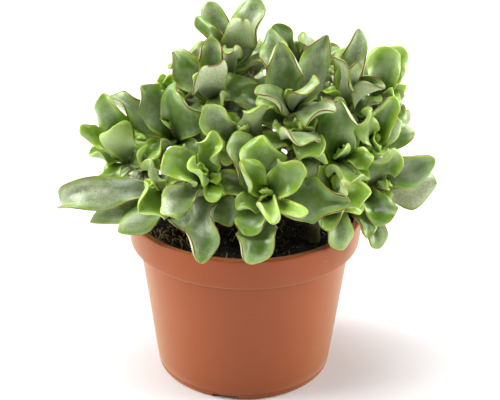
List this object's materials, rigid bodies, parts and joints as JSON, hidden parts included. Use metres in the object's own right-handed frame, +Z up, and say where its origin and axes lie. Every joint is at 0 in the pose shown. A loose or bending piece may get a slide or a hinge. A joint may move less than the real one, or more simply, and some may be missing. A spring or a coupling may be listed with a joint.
{
  "type": "potted succulent plant",
  "caption": "Bushy succulent with curly, wavy-edged paddle leaves on branching stems, growing in a round tapered plastic pot that stands on its flat foot.",
  "frame": {"origin": "on the ground at the middle of the pot's foot", "axes": "+Z up; the plant's best side faces -Y, so +X is to the right of someone who looks at it"},
  "size_m": [0.1875, 0.1502, 0.1957],
  "materials": {
    "pot": "terracotta-coloured plastic with a soft sheen",
    "soil": "dark damp potting compost",
    "leaf": "waxy silvery green flesh with a thin dark red margin"
  },
  "bodies": {
    "root": {"pot": "pot", "soil": "soil", "stem_front_left": "leaf", "stem_front": "leaf", "stem_front_right": "leaf", "stem_left": "leaf", "stem_upper_left": "leaf", "stem_upper_middle": "leaf", "stem_right": "leaf", "stem_right_low": "leaf", "stem_back_left": "leaf", "stem_back": "leaf", "stem_back_right": "leaf"}
  },
  "joints": []
}
